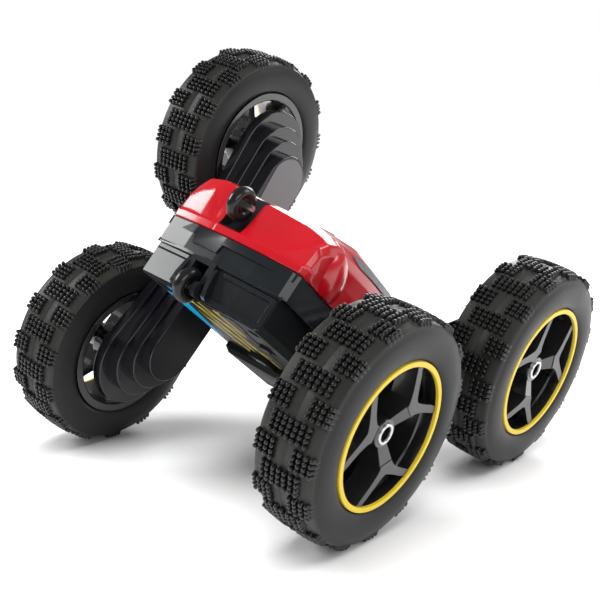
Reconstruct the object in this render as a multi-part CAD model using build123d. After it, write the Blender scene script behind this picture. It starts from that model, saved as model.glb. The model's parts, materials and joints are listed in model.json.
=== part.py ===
"""Radio-controlled stunt car with two turning side arms and four knobbly wheels.

Millimetres, +Z up.  The car is modelled about its arm pivot (X forward, Y left, Z up),
then stood on three of its wheels, which leans it over by STANCE_ROLL.
"""
import math
import os

from build123d import *

# ---- Driving dimensions: whole car ------------------------------------------------
WHEEL_REACH = 57.85        # pivot to axle, along the arm
AXLE_DROP = 4.2            # axles sit this far to one side of the pivot line
TRACK = 160.0              # wheel mid-plane to wheel mid-plane
BODY_PITCH = 36.0          # nose-down turn of the body on its pivot
LEFT_ARM_TURN = 126.4      # left arm turned on the pivot
STANCE_ROLL = 14.04        # lean of the whole car as it stands

# ---- Body -------------------------------------------------------------------------
BODY_HALF_WIDTH = 36.0
BODY_CORNER_X = 67.0       # body ends at the corners
BODY_BOW_X = 70.0          # body ends on the centre line
SEAM_Z = -2.4              # red shell meets bumper band
BAND_BOTTOM_Z = -14.0      # bumper band meets lower shell
BOTTOM_Z = -29.5
RIM_TOP_Z = 1.5
CREST_Z = 21.0
CREST_X = 68.0
ROOF_Z = 30.0
ROOF_FRONT_X = 12.0
ROOF_REAR_X = -22.0
SHELL_WALL = 2.0
BARREL_RADIUS = 13.5
RUNNING_GAP = 0.05

# ---- Rollers on the tail ----------------------------------------------------------
ROLLER_RADIUS = 7.5
ROLLER_WIDTH = 5.6
ROLLER_Y = 3.6
ROLLER_X = -70.8
ROLLER_TOP_Z = 12.4
ROLLER_LOW_Z = -26.6
ROLLER_PIN_RADIUS = 1.25
ROLLER_PIN_LENGTH = 13.0
SLOT_WIDTH = 7.6

# ---- Screws, switch, battery ------------------------------------------------------
SHELL_SCREWS = [(-57, -26), (-57, 26), (52, -25), (52, 25)]
SCREW_HEAD_Z = -26.0
SCREW_RADIUS = 1.3
SWITCH_X = -36.0
SWITCH_Y = -21.5
SWITCH_TRAVEL = 3.0
DOOR_START_X = 2.0
DOOR_END_X = 48.0
DOOR_HALF_WIDTH = 26.0
DOOR_BULGE = 4.5
DOOR_SCREW_X = -3.5
CELL_RADIUS = 6.8
CELL_HALF_LENGTH = 19.0
CELL_X = (16.0, 29.9)

# ---- Arms -------------------------------------------------------------------------
ARM_INNER_Y = 43.5         # flat face towards the body
ARM_SPLIT_Y = 58.5         # housing meets cover
ARM_OUTER_Y = 64.5
ARM_WALL = 1.8
ARM_HALF_WIDTH = 14.2
BARREL_INNER_Y = 16.0      # barrel reaches this far into the body
STEP_DEPTH = 5.0
STEP_ENDS = ((62.0, 13.6), (68.3, 15.6), (74.6, 18.0), (81.0, 22.0))  # reach, end radius
ARM_SCREWS = [(-43.5, 8.7), (43.5, 8.7), (-24.0, -12.6), (24.0, -12.6)]

# ---- Gears (module 1) -------------------------------------------------------------
PINION_TEETH = 8
IDLER_TEETH = 20
WHEEL_GEAR_TEETH = 28
TRAIN_TEETH = (("inner_idler", IDLER_TEETH), ("outer_idler", IDLER_TEETH), ("wheel_gear", WHEEL_GEAR_TEETH))
GEAR_PLANE_Y = 60.6
GEAR_WIDTH = 2.8
GEAR_POST_RADIUS = 1.5

# ---- Wheels -----------------------------------------------------------------------
TYRE_CROWN_RADIUS = 45.2
TYRE_SHOULDER_RADIUS = 44.2
TREAD_HALF_WIDTH = 12.8
PAD_HEIGHT = 2.0
PADS_ROUND = 15
PAD_HALF_LENGTH = 4.0      # along the tread
MIDDLE_PAD_HALF_WIDTH = 8.8
SHOULDER_PAD_START = 3.8
SHOULDER_PAD_END = 13.6
BEAD_RADIUS = 30.5
RIM_HALF_WIDTH = 14.2
RIM_INNER_RADIUS = 28.0
AXLE_RADIUS = 2.5
HUB_BORE_RADIUS = 3.0
HUB_BORE_FLOOR_Y = 6.0      # bore floor, flush with the axle screw head
HUB_END_Y = 10.4
AXLE_END_Y = 3.0
AXLE_SCREW_SEAT_Y = 4.5
SPOKE_NODE_RADIUS = 13.2   # each spoke forks here
SPOKE_FORK_DEG = 30.5
SPOKE_FACE_Y = 13.0
SPOKE_BACK_Y = 5.5
SPOKE_HALF_WIDTH = 1.7
SPOKE_PHASE_DEG = {            # first fork of each wheel, from the arm's +X
    "right_rear": 40.0,
    "right_front": 10.7,
    "left_front": 25.0,
    "left_rear": 55.0,
}


def box(x0, x1, y0, y1, z0, z1):
    """Box between two corners."""
    size = (x1 - x0, y1 - y0, z1 - z0)
    return Pos((x0 + x1) / 2, (y0 + y1) / 2, (z0 + z1) / 2) * Box(*size)


def rod_y(radius, x, z, y0, y1):
    """Round bar along Y."""
    bar = Rot(90, 0, 0) * Cylinder(radius, abs(y1 - y0))
    return Pos(x, (y0 + y1) / 2, z) * bar


def rod_z(radius, x, y, z0, z1):
    """Round bar along Z."""
    return Pos(x, y, (z0 + z1) / 2) * Cylinder(radius, abs(z1 - z0))


def prism_y(points, y0, y1):
    """Polygon in X, Z pushed out along Y."""
    face = make_face(Polyline(*[(x, 0, z) for x, z in points], close=True))
    solid = extrude(face, amount=abs(y1 - y0), dir=(0, 1, 0))
    return Pos(0, min(y0, y1), 0) * solid


def prism_x(points, x0, x1):
    """Polygon in Y, Z pushed out along X."""
    face = make_face(Polyline(*[(0, y, z) for y, z in points], close=True))
    solid = extrude(face, amount=abs(x1 - x0), dir=(1, 0, 0))
    return Pos(min(x0, x1), 0, 0) * solid


def prism_z(points, z0, z1):
    """Polygon in X, Y pushed up along Z."""
    face = make_face(Polyline(*[(x, y, 0) for x, y in points], close=True))
    solid = extrude(face, amount=abs(z1 - z0), dir=(0, 0, 1))
    return Pos(0, 0, min(z0, z1)) * solid


def mirror_pairs(points):
    """Close a half outline by reflecting it in the first coordinate."""
    return list(points) + [(-a, b) for a, b in reversed(points)]


def mirror_quarters(points):
    """Close a quarter outline (from the first axis round to the second) by two reflections."""
    half = list(points) + [(-a, b) for a, b in reversed(points)]
    return half + [(a, -b) for a, b in reversed(half)]


# ---- Body shells ------------------------------------------------------------------
def plan_outline(inset):
    """Top view of the body, bowed at nose and tail."""
    corner = BODY_CORNER_X - inset
    bow = BODY_BOW_X - inset
    side = BODY_HALF_WIDTH - inset
    return mirror_quarters([
        (bow, 1), (corner + 2, side / 2), (corner, side - 3), (corner - 3, side),
    ])


def upper_form(inset):
    """Faceted red body form, from the seam to the roof."""
    low = SEAM_Z
    rim = RIM_TOP_Z - inset
    nose = BODY_BOW_X - 1 - inset
    tail = -CREST_X + inset
    crest = CREST_Z - inset
    roof = ROOF_Z - inset
    side_view = [
        (-nose, low), (nose, low), (nose, rim), (nose - 8, crest - 9), (30, crest + 2),
        (ROOF_FRONT_X, roof), (ROOF_REAR_X, roof), (tail + 3, crest), (tail, crest - 2),
    ]
    side = BODY_HALF_WIDTH - inset
    end_view = mirror_pairs([
        (side, low), (side, rim), (side - 3.5, rim + 10), (side - 8, crest), (side - 16, roof),
    ])
    bow = CREST_X + 1.5 - inset
    plan = mirror_quarters([(bow, 1), (bow - 1, 14), (bow - 6, 29 - inset), (bow - 12, 40)])
    form = prism_y(side_view, -60, 60) & prism_x(end_view, -90, 90)
    form = form & prism_z(plan, low - 1, ROOF_Z + 5)
    slab = prism_z(plan_outline(inset), low, max(rim, low + 0.5))
    return form + slab


def lower_form(inset):
    """Black belly form, from the bumper band down."""
    top = BAND_BOTTOM_Z
    bottom = BOTTOM_Z + inset
    end_view = mirror_pairs([(33.5 - inset, top), (33.5 - inset, bottom + 3), (31 - inset, bottom)])
    tail = -BODY_BOW_X + 1 + inset
    nose = BODY_BOW_X - 2 - inset
    side_view = [(tail, top), (tail + 1, bottom), (nose - 10, bottom), (nose, top)]
    form = prism_y(side_view, -60, 60) & prism_x(end_view, -90, 90)
    return form & prism_z(plan_outline(inset + 0.8), bottom - 1, top + 1)


def roller_slot(z_low, z_high):
    """Clearance cut for one tail roller."""
    half = SLOT_WIDTH / 2
    return box(-90, ROLLER_X + 9.0, ROLLER_Y - half, ROLLER_Y + half, z_low, z_high)


def roller_ears(z, z_low, z_high):
    """Bracket with rounded ears either side of a roller that carries its pin."""
    half = ROLLER_PIN_LENGTH / 2
    block = box(ROLLER_X, ROLLER_X + 11.0, ROLLER_Y - half, ROLLER_Y + half, z_low, z_high)
    return block + rod_y(3.2, ROLLER_X, z, ROLLER_Y - half, ROLLER_Y + half)


def roller_pin(z):
    half = ROLLER_PIN_LENGTH / 2
    return rod_y(ROLLER_PIN_RADIUS, ROLLER_X, z, ROLLER_Y - half, ROLLER_Y + half)


def roller(z):
    """Rounded tail roller on its pin."""
    profile = Rectangle(ROLLER_RADIUS - ROLLER_PIN_RADIUS - RUNNING_GAP, ROLLER_WIDTH)
    inner = ROLLER_PIN_RADIUS + RUNNING_GAP
    profile = Pos((ROLLER_RADIUS + inner) / 2, 0) * profile
    outer_edges = [v for v in profile.vertices() if v.X > ROLLER_RADIUS - 0.1]
    profile = fillet(outer_edges, 2.6)
    ring = revolve(profile, Axis.Y)
    return Pos(ROLLER_X, ROLLER_Y, z) * ring


def cross_recess(x, y, z):
    """Cross-shaped driver recess, sunk upwards from a screw head's face at z."""
    long_bar = box(x - 1.6, x + 1.6, y - 0.4, y + 0.4, z - 0.1, z + 0.8)
    return long_bar + box(x - 0.4, x + 0.4, y - 1.6, y + 1.6, z - 0.1, z + 0.8)


def shell_screws():
    """Four screws that pull the shells together."""
    group = []
    for x, y in SHELL_SCREWS:
        shank = rod_z(SCREW_RADIUS, x, y, SCREW_HEAD_Z, 3)
        head = rod_z(2.7, x, y, SCREW_HEAD_Z - 1.8, SCREW_HEAD_Z)
        group.append((shank + head) - cross_recess(x, y, SCREW_HEAD_Z - 1.8))
    return group


def barrel_holes(radius):
    """Round openings in both flanks for the arm barrels."""
    return rod_y(radius, 0, 0, -60, 60)


def side_boss(x, side):
    """Smooth rounded bulge on the flank of the red shell."""
    return Pos(x, side * 24.0, 4.0) * scale(Sphere(1.0), by=(15.0, 15.0, 17.5))


def barrel_cheeks(z_low, z_high):
    """Thick bearing walls round the arm barrels."""
    left = box(-20, 20, 22.3, BODY_HALF_WIDTH - 0.5, z_low, z_high)
    right = box(-20, 20, -BODY_HALF_WIDTH + 0.5, -22.3, z_low, z_high)
    return left + right


def upper_shell():
    """Red upper shell: hollow, slotted for the top roller, with screw posts."""
    bosses = side_boss(-47, 1) + side_boss(-47, -1) + side_boss(46, 1) + side_boss(46, -1)
    above_seam = box(-90, 90, -60, 60, SEAM_Z, 60)
    shell = upper_form(0) + (bosses & above_seam)
    shell -= upper_form(SHELL_WALL)
    shell += roller_ears(ROLLER_TOP_Z, 3.0, CREST_Z - 3)
    shell += barrel_cheeks(SEAM_Z, 18) & upper_form(0.5)
    for x, y in SHELL_SCREWS:
        shell += rod_z(3.2, x, y, SEAM_Z, 30) & upper_form(0.5)
    for x, y in SHELL_SCREWS:
        shell -= rod_z(SCREW_RADIUS, x, y, -30, 3)
    shell -= roller_slot(4.0, 60)
    shell -= roller_pin(ROLLER_TOP_Z)
    return shell - barrel_holes(BARREL_RADIUS + RUNNING_GAP)


def bumper_band():
    """Black frame between the shells that carries the arm barrels."""
    band = prism_z(plan_outline(0), BAND_BOTTOM_Z, SEAM_Z)
    band -= prism_z(plan_outline(3.0), BAND_BOTTOM_Z - 1, SEAM_Z + 1)
    band += barrel_cheeks(BAND_BOTTOM_Z, SEAM_Z)
    for x, y in SHELL_SCREWS:
        rib_end = math.copysign(BODY_HALF_WIDTH - 1.5, y)
        band += rod_z(3.4, x, y, BAND_BOTTOM_Z, SEAM_Z)
        band += box(x - 1, x + 1, min(y, rib_end), max(y, rib_end), BAND_BOTTOM_Z, SEAM_Z)
    for x, y in SHELL_SCREWS:
        band -= rod_z(SCREW_RADIUS, x, y, -30, 3)
    return band - barrel_holes(BARREL_RADIUS + RUNNING_GAP)


def lower_shell():
    """Black belly: hollow tray with screw wells, battery bay and roller slot."""
    shell = lower_form(0) - lower_form(SHELL_WALL)
    shell += roller_ears(ROLLER_LOW_Z, BOTTOM_Z + 0.2, BAND_BOTTOM_Z)
    for x, y in SHELL_SCREWS:
        shell += rod_z(4.2, x, y, BOTTOM_Z + 0.5, BAND_BOTTOM_Z)
    shell += rod_z(3.4, DOOR_SCREW_X, 0, BOTTOM_Z + 0.5, BOTTOM_Z + 8)
    for x, y in SHELL_SCREWS:
        shell -= rod_z(SCREW_RADIUS, x, y, -40, 3)
        shell -= rod_z(2.8, x, y, -40, SCREW_HEAD_Z)
    shell -= rod_z(SCREW_RADIUS, DOOR_SCREW_X, 0, -40, BOTTOM_Z + 6)
    half = DOOR_HALF_WIDTH
    shell -= box(DOOR_START_X, DOOR_END_X, -half, half, BOTTOM_Z - 1, BOTTOM_Z + SHELL_WALL + 0.5)
    shell -= box(
        SWITCH_X - 5.5, SWITCH_X + 5.5, SWITCH_Y - 2.7, SWITCH_Y + 2.7, BOTTOM_Z - 1, BOTTOM_Z + 3,
    )
    shell -= roller_slot(-60, -16.0)
    return shell - roller_pin(ROLLER_LOW_Z)


def battery_cover():
    """Raised door over the battery bay, with a hook at the nose and a screw ear."""
    x0 = DOOR_START_X + 0.2
    x1 = DOOR_END_X - 0.2
    half = DOOR_HALF_WIDTH - 0.2
    door = box(x0, x1, -half, half, BOTTOM_Z, BOTTOM_Z + SHELL_WALL)
    raised = box(x0, x1, -half, half, BOTTOM_Z - DOOR_BULGE, BOTTOM_Z)
    raised = chamfer(raised.edges().group_by(Axis.Z)[0], 2.0)
    inside = box(x0 + 2.3, x1 - 2.3, -half + 2.3, half - 2.3, BOTTOM_Z - 2.6, BOTTOM_Z + 5)
    ear = box(DOOR_SCREW_X - 5, x0 + 1, -5, 5, BOTTOM_Z - 2.4, BOTTOM_Z)
    cover = door + raised + ear - inside
    return cover - battery_screw_blank()


def battery_screw_blank():
    """Outer form of the door screw, before its driver recess."""
    shank = rod_z(SCREW_RADIUS, DOOR_SCREW_X, 0, BOTTOM_Z - 1.2, BOTTOM_Z + 6)
    return shank + rod_z(2.6, DOOR_SCREW_X, 0, BOTTOM_Z - 2.4, BOTTOM_Z - 1.2)


def battery_screw():
    """Screw that holds the battery door."""
    return battery_screw_blank() - cross_recess(DOOR_SCREW_X, 0, BOTTOM_Z - 2.4)


def battery_pack():
    """Two wrapped cells side by side with their end caps."""
    end = CELL_HALF_LENGTH
    first, second = CELL_X
    pair = rod_y(CELL_RADIUS, first, 0, -end, end) + rod_y(CELL_RADIUS, second, 0, -end, end)
    for wrap_z in (-6.0, 6.0):
        pair += box(first, second, -end + 0.5, end - 0.5, wrap_z - 0.6, wrap_z + 0.6)
    return Pos(0, 0, BOTTOM_Z - 2.3 + CELL_RADIUS) * pair


def circuit_board():
    """Control board with its chips, crystal and connectors."""
    board = box(-52, -21, -20, 20, -8.6, -7.0)
    receiver = (-46, -12, 9, 9, 1.6)
    driver = (-36, 4, 12, 8, 1.8)
    motor_socket = (-28, -12, 6, 10, 5.5)
    battery_socket = (-45, 11, 8, 6, 6.0)
    capacitor = (-36, -14, 4, 4, 3.0)
    for x, y, dx, dy, height in (receiver, driver, motor_socket, battery_socket, capacitor):
        board += box(x - dx / 2, x + dx / 2, y - dy / 2, y + dy / 2, -7.2, -7.0 + height)
    return board


def switch_housing():
    """Power switch can behind the belly wall."""
    low = BOTTOM_Z + SHELL_WALL + 0.1
    can = box(SWITCH_X - 6.5, SWITCH_X + 6.5, SWITCH_Y - 3.5, SWITCH_Y + 3.5, low, low + 6)
    return can - box(SWITCH_X - 4.2, SWITCH_X + 4.2, SWITCH_Y - 1.3, SWITCH_Y + 1.3, low - 1, low + 3)


def switch_slider():
    """Sliding thumb of the power switch, at its off end."""
    middle = SWITCH_X - SWITCH_TRAVEL / 2
    low = BOTTOM_Z - 1.2
    high = BOTTOM_Z + SHELL_WALL
    knob = box(middle - 2, middle + 2, SWITCH_Y - 2.3, SWITCH_Y + 2.3, low, high)
    stem = box(middle - 1.5, middle + 1.5, SWITCH_Y - 1.0, SWITCH_Y + 1.0, high - 0.1, high + 2.6)
    return knob + stem


def underside_label():
    """Printed sticker between the tail and the battery door."""
    outline = [
        (-63, -19), (-63, 19), (-51, 19), (-51, 28), (0, 28), (0, 7),
        (-10, 7), (-10, -7), (0, -7), (0, -17), (-51, -17), (-51, -19),
    ]
    return prism_z(outline, BOTTOM_Z - 0.25, BOTTOM_Z)


def window_stickers():
    """Tinted rear window and windscreen stickers, each lying on its own sloping facet."""
    rear_run = CREST_X - 3 + ROOF_REAR_X
    rear_slope = math.degrees(math.atan2(ROOF_Z - CREST_Z, rear_run))
    rear = box(-rear_run + 6, -4, -17, 17, 0, 0.3)
    rear = Pos(ROOF_REAR_X, 0, ROOF_Z) * Rot(0, -rear_slope, 0) * rear
    front_slope = math.degrees(math.atan2(ROOF_Z - CREST_Z - 2, 30 - ROOF_FRONT_X))
    front = box(3, 17, -17, 17, 0, 0.3)
    front = Pos(ROOF_FRONT_X, 0, ROOF_Z) * Rot(0, front_slope, 0) * front
    return [rear, front]


# ---- Gears ------------------------------------------------------------------------
def gear(teeth, width, bore):
    """Spur gear of module 1 lying in X, Z with one tooth centred on +X."""
    root = teeth / 2 - 1.15
    tip = teeth / 2 + 0.85
    pitch = 2 * math.pi / teeth
    rising = [(root, -0.27), (teeth / 2, -0.215), (tip, -0.1)]
    falling = [(radius, -share) for radius, share in reversed(rising)]
    outline = []
    for index in range(teeth):
        for radius, share in rising + falling:
            angle = (index + share) * pitch
            outline.append((radius * math.cos(angle), radius * math.sin(angle)))
    wheel = prism_y(outline, -width / 2, width / 2)
    if bore > 0:
        wheel -= rod_y(bore, 0, 0, -width, width)
    return wheel


def mesh_turn(first_turn, first_teeth, second_teeth, direction):
    """Turn that puts the second gear's teeth in the first gear's gaps, in radians."""
    arc = (first_teeth / 2) * (first_turn - direction) + math.pi / 2
    return direction + math.pi - arc / (second_teeth / 2)


def train():
    """Places of the gears of one arm: name, teeth, x, z, turn."""
    pinion_turn = 0.0
    places = [("pinion", PINION_TEETH, 0.0, 0.0, pinion_turn)]
    for end, sign in (("front", 1), ("rear", -1)):
        direction = math.atan2(-AXLE_DROP, sign * WHEEL_REACH)
        reach = 0.0
        teeth_before = PINION_TEETH
        turn_before = pinion_turn
        for name, teeth in TRAIN_TEETH:
            reach += (teeth_before + teeth) / 2
            turn = mesh_turn(turn_before, teeth_before, teeth, direction)
            x = reach * math.cos(direction)
            z = reach * math.sin(direction)
            places.append((f"{end}_{name}", teeth, x, z, turn))
            teeth_before, turn_before = teeth, turn
    return places


# ---- One arm, built on the left side (outward is +Y) ------------------------------
def arm_section(step, y0, y1, inset):
    """One layer of the arm: straight bar with a round end at each wheel."""
    reach, radius = STEP_ENDS[step]
    centre = reach - radius
    drop = -AXLE_DROP * min(1.0, centre / WHEEL_REACH)
    half = min(ARM_HALF_WIDTH, radius) - inset
    axis_z = drop / 2
    layer = box(-centre, centre, y0, y1, axis_z - half, axis_z + half)
    for sign in (1, -1):
        layer += rod_y(radius - inset, sign * centre, drop, y0, y1)
    return layer


def arm_form(y0, y1, inset):
    """Stepped outline of the arm between two depths."""
    form = None
    for step in range(len(STEP_ENDS)):
        low = ARM_INNER_Y + step * STEP_DEPTH
        high = low + STEP_DEPTH if step < len(STEP_ENDS) - 1 else 99.0
        start = max(low + (inset if step else 0), y0)
        stop = min(high + (inset if step < len(STEP_ENDS) - 1 else 0), y1)
        if stop > start:
            layer = arm_section(step, start, stop, inset)
            form = layer if form is None else form + layer
    return form + rod_y(17.5 - inset, 0, 0, y0, y1)


def arm_screw_group():
    """Four screws that close the arm."""
    group = []
    for x, z in ARM_SCREWS:
        shank = rod_y(1.0, x, z, 50, ARM_OUTER_Y - 1.5)
        head = rod_y(2.0, x, z, ARM_OUTER_Y - 1.5, ARM_OUTER_Y)
        group.append(shank + head)
    return group


def gear_posts():
    """Posts moulded in the housing that the idler gears turn on."""
    posts = []
    for name, teeth, x, z, turn in train():
        if "idler" in name:
            posts.append(rod_y(GEAR_POST_RADIUS, x, z, 50, ARM_OUTER_Y - ARM_WALL))
    return posts


def arm_housing():
    """Inner half of the arm with the barrel that turns in the body."""
    outer = arm_form(ARM_INNER_Y, ARM_SPLIT_Y, 0)
    hollow = arm_form(ARM_INNER_Y + ARM_WALL, ARM_SPLIT_Y + 1, ARM_WALL)
    shell = outer - hollow
    shell += rod_y(BARREL_RADIUS, 0, 0, BARREL_INNER_Y, ARM_INNER_Y + 1)
    shell -= rod_y(11.8, 0, 0, BARREL_INNER_Y + 2.0, ARM_SPLIT_Y + 1)
    shell -= rod_y(4.0, 0, 0, BARREL_INNER_Y - 1, BARREL_INNER_Y + 3)
    under_gears = GEAR_PLANE_Y - GEAR_WIDTH / 2 - 0.3
    for name, teeth, x, z, turn in train():
        if "idler" in name:
            shell += rod_y(3.0, x, z, ARM_INNER_Y + 1, under_gears)
    for axle_x in (WHEEL_REACH, -WHEEL_REACH):
        shell += rod_y(5.0, axle_x, -AXLE_DROP, ARM_INNER_Y + 4.0, under_gears)
        shell -= rod_y(AXLE_RADIUS + RUNNING_GAP, axle_x, -AXLE_DROP, ARM_INNER_Y + 8.0, 70)
    for x, z in ARM_SCREWS:
        shell += rod_y(2.4, x, z, ARM_INNER_Y + 1, ARM_SPLIT_Y) & arm_form(ARM_INNER_Y, ARM_SPLIT_Y, 0)
    for piece in gear_posts():
        shell += piece
    for piece in arm_screw_group():
        shell -= piece
    return shell


def arm_cover():
    """Outer half of the arm with the wheel bearings."""
    cover = arm_form(ARM_SPLIT_Y, ARM_OUTER_Y, 0)
    cover -= arm_form(ARM_SPLIT_Y - 1, ARM_OUTER_Y - ARM_WALL, ARM_WALL)
    for axle_x in (WHEEL_REACH, -WHEEL_REACH):
        cover += rod_y(9.0, axle_x, -AXLE_DROP, ARM_OUTER_Y - ARM_WALL, ARM_OUTER_Y + 6)
        cover -= rod_y(AXLE_RADIUS + RUNNING_GAP, axle_x, -AXLE_DROP, 40, 90)
    for x, z in ARM_SCREWS:
        cover += rod_y(2.6, x, z, ARM_SPLIT_Y, ARM_OUTER_Y) & arm_form(ARM_SPLIT_Y, ARM_OUTER_Y, 0)
    for piece in arm_screw_group():
        cover -= piece
    return cover


def arm_motor():
    """Can motor in the barrel, shaft towards the gears."""
    front = BARREL_INNER_Y + 27.0
    can = rod_y(11.6, 0, 0, BARREL_INNER_Y + 2.0, front)
    can = can & box(-12, 12, 0, 90, -9.0, 9.0)
    can += rod_y(3.0, 0, 0, front, front + 1.5)
    return can + rod_y(1.0, 0, 0, front, GEAR_PLANE_Y + 1.2)


def retaining_ring():
    """Ring pressed on the barrel inside the body wall."""
    return rod_y(17.0, 0, 0, 20.0, 22.0) - rod_y(BARREL_RADIUS, 0, 0, 19, 23)


# ---- One wheel about its own centre, outward is +Y --------------------------------
def ring_of(profile_points):
    """Turn an (radius, y) outline about Y."""
    face = make_face(Polyline(*[(radius, y, 0) for radius, y in profile_points], close=True))
    return revolve(face, Axis.Y)


def tyre():
    """Hollow rubber tyre with staggered rows of tread pads."""
    half = TREAD_HALF_WIDTH
    carcass = ring_of([
        (BEAD_RADIUS, -13.2), (31.8, -14.4), (36.0, -14.8), (40.5, -14.4), (TYRE_SHOULDER_RADIUS, -half),
        (TYRE_CROWN_RADIUS, 0), (TYRE_SHOULDER_RADIUS, half), (40.5, 14.4), (36.0, 14.8), (31.8, 14.4),
        (BEAD_RADIUS, 13.2), (BEAD_RADIUS, 10.5), (34, 11.5), (40.0, 10.5), (42.0, 0), (40.0, -10.5),
        (34, -11.5), (BEAD_RADIUS, -10.5),
    ])
    crown_top = TYRE_CROWN_RADIUS + PAD_HEIGHT
    shoulder_top = TYRE_SHOULDER_RADIUS + PAD_HEIGHT
    wing = MIDDLE_PAD_HALF_WIDTH
    start, end = SHOULDER_PAD_START, SHOULDER_PAD_END
    middle = prism_x([
        (-wing, 43.5), (-wing, crown_top - 0.7), (0, crown_top), (wing, crown_top - 0.7), (wing, 43.5),
    ], -PAD_HALF_LENGTH, PAD_HALF_LENGTH)
    shoulder = prism_x([
        (start, 43.5), (start, crown_top - 0.3), (half, shoulder_top), (end, shoulder_top - 1.6), (end, 42.2),
    ], -PAD_HALF_LENGTH, PAD_HALF_LENGTH)
    opposite = mirror(shoulder, about=Plane.XZ)
    pads = []
    pitch = 360 / PADS_ROUND
    for index in range(PADS_ROUND):
        pads.append(Rot(0, pitch * index, 0) * middle)
        pads.append(Rot(0, pitch * (index + 0.5), 0) * shoulder)
        pads.append(Rot(0, pitch * (index + 0.5), 0) * opposite)
    return carcass.fuse(*pads)


def spoke_arm(fork_deg):
    """One arm of a fork, from the node out to the barrel."""
    start_x = SPOKE_NODE_RADIUS - 1.5
    tip_x = 29.2 * math.cos(math.radians(fork_deg))
    tip_z = 29.2 * math.sin(math.radians(fork_deg))
    length = math.hypot(tip_x - start_x, tip_z)
    turn = math.degrees(math.atan2(tip_z, tip_x - start_x))
    bar = box(0, length, SPOKE_BACK_Y, SPOKE_FACE_Y, -SPOKE_HALF_WIDTH, SPOKE_HALF_WIDTH)
    return Pos(start_x, 0, 0) * Rot(0, -turn, 0) * bar


def rim(phase):
    """Wheel with three forked spokes, a deep barrel and a bored hub."""
    barrel = ring_of([
        (BEAD_RADIUS, -RIM_HALF_WIDTH), (BEAD_RADIUS, SPOKE_FACE_Y),
        (RIM_INNER_RADIUS, SPOKE_FACE_Y), (RIM_INNER_RADIUS, -RIM_HALF_WIDTH),
    ])
    wheel = barrel + rod_y(6.0, 0, 0, -6.0, HUB_END_Y)
    stem = prism_y([(4, -2.4), (SPOKE_NODE_RADIUS, -2.8), (SPOKE_NODE_RADIUS, 2.8), (4, 2.4)], 4.0, 9.5)
    fork = stem + spoke_arm(SPOKE_FORK_DEG) + spoke_arm(-SPOKE_FORK_DEG)
    for index in range(3):
        wheel += Rot(0, -phase - 120 * index, 0) * fork
    wheel = wheel & rod_y(BEAD_RADIUS, 0, 0, -20, 20)
    wheel -= rod_y(AXLE_RADIUS, 0, 0, -10, AXLE_END_Y)
    wheel -= rod_y(1.1, 0, 0, AXLE_END_Y - 1, HUB_BORE_FLOOR_Y)
    wheel -= rod_y(2.2, 0, 0, AXLE_SCREW_SEAT_Y, HUB_BORE_FLOOR_Y)
    return wheel - rod_y(HUB_BORE_RADIUS, 0, 0, HUB_BORE_FLOOR_Y, 20)


def trim_ring():
    """Yellow ring on the outer edge of the rim."""
    return ring_of([(28.0, 13.0), (30.4, 13.0), (30.2, 14.2), (28.4, 14.3)])


def hub_ring():
    """Bright ring round the hub bore."""
    return rod_y(4.4, 0, 0, HUB_END_Y, HUB_END_Y + 0.6) - rod_y(HUB_BORE_RADIUS, 0, 0, HUB_BORE_FLOOR_Y, 20)


def axle_screw():
    """Screw that holds the wheel on its shaft, sunk in the floor of the hub bore."""
    return rod_y(1.1, 0, 0, -4.0, AXLE_SCREW_SEAT_Y) + rod_y(2.2, 0, 0, AXLE_SCREW_SEAT_Y, HUB_BORE_FLOOR_Y)


def drive_shaft(gear_turn):
    """Wheel gear moulded in one with its shaft."""
    shaft = rod_y(AXLE_RADIUS, 0, 0, ARM_INNER_Y + 8.5 - TRACK / 2, AXLE_END_Y - 0.1)
    toothed = Rot(0, -math.degrees(gear_turn), 0) * gear(WHEEL_GEAR_TEETH, GEAR_WIDTH, 0)
    toothed = Pos(0, GEAR_PLANE_Y - TRACK / 2, 0) * toothed
    return shaft + toothed - rod_y(1.1, 0, 0, -4.0, 5)


# ---- Put the car together ---------------------------------------------------------
def mirrored(piece):
    """Same piece on the right-hand side."""
    if isinstance(piece, list):
        return [mirror(item, about=Plane.XZ) for item in piece]
    return mirror(piece, about=Plane.XZ)


def moved(place, piece):
    if isinstance(piece, list):
        return [place * item for item in piece]
    return place * piece


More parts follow.
